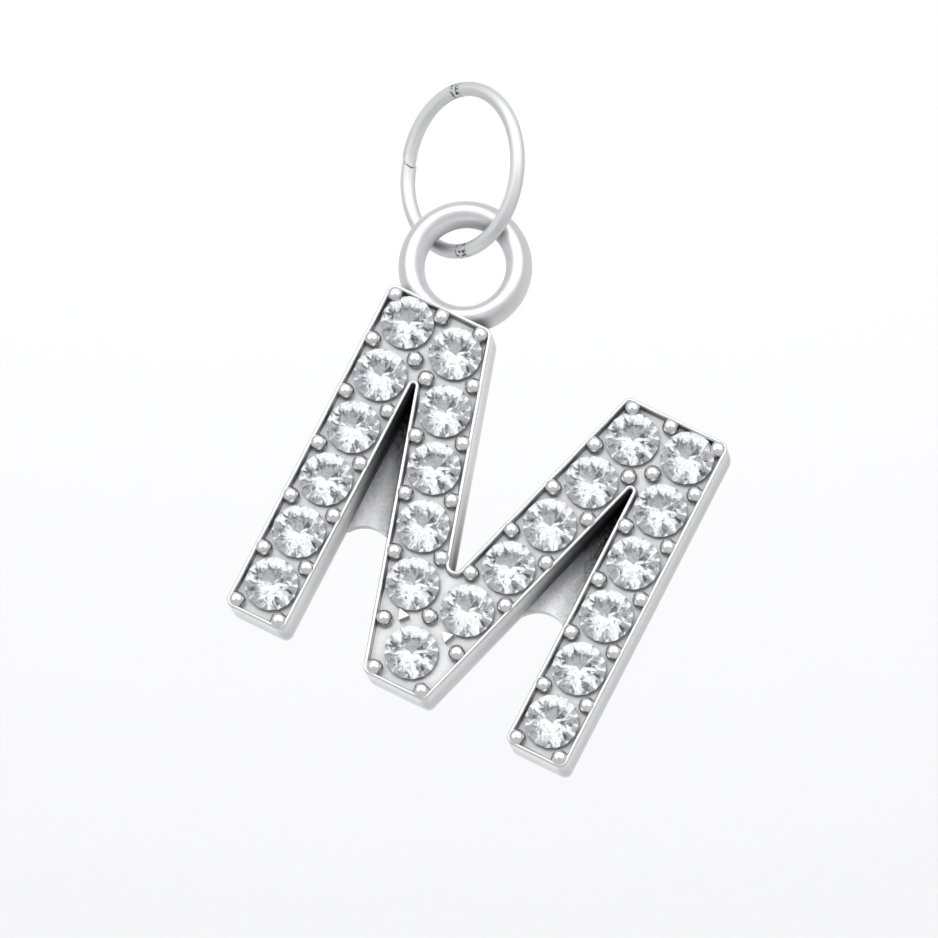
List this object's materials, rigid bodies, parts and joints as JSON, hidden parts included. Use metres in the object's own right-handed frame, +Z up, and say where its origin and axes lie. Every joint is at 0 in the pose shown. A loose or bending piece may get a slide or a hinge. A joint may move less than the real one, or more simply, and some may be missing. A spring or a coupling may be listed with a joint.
{
  "type": "initial pendant",
  "caption": "Cast letter charm pave-set with round faceted stones held by small beads, hung by its cast loop from a wire jump ring.",
  "frame": {"origin": "highest point of the jump ring's inner edge, where the pendant hangs from a chain or cord", "axes": "+Z up, -Y the letter's stone-set face, +X to the viewer's right"},
  "size_m": [0.0167, 0.0042, 0.0237],
  "materials": {
    "casting": "bright rhodium plate over a cast zinc alloy, polished",
    "jump_ring": "bright plated wire",
    "stones": "clear cut crystal glass, foiled behind"
  },
  "bodies": {
    "ring": {"jump_ring": "jump_ring"},
    "letter": {"letter_casting": "casting", "stone_01": "stones", "stone_02": "stones", "stone_03": "stones", "stone_04": "stones", "stone_05": "stones", "stone_06": "stones", "stone_07": "stones", "stone_08": "stones", "stone_09": "stones", "stone_10": "stones", "stone_11": "stones", "stone_12": "stones", "stone_13": "stones", "stone_14": "stones", "stone_15": "stones", "stone_16": "stones", "stone_17": "stones", "stone_18": "stones", "stone_19": "stones", "stone_20": "stones", "stone_21": "stones", "stone_22": "stones", "stone_23": "stones"}
  },
  "joints": [
    {"name": "letter_swing", "type": "hinge", "parent": "ring", "child": "letter", "pos_m": [0.00019, 0.0002, -0.00487], "axis": [0.7385, -0.6743, 0], "range_deg": [-60, 60]}
  ]
}
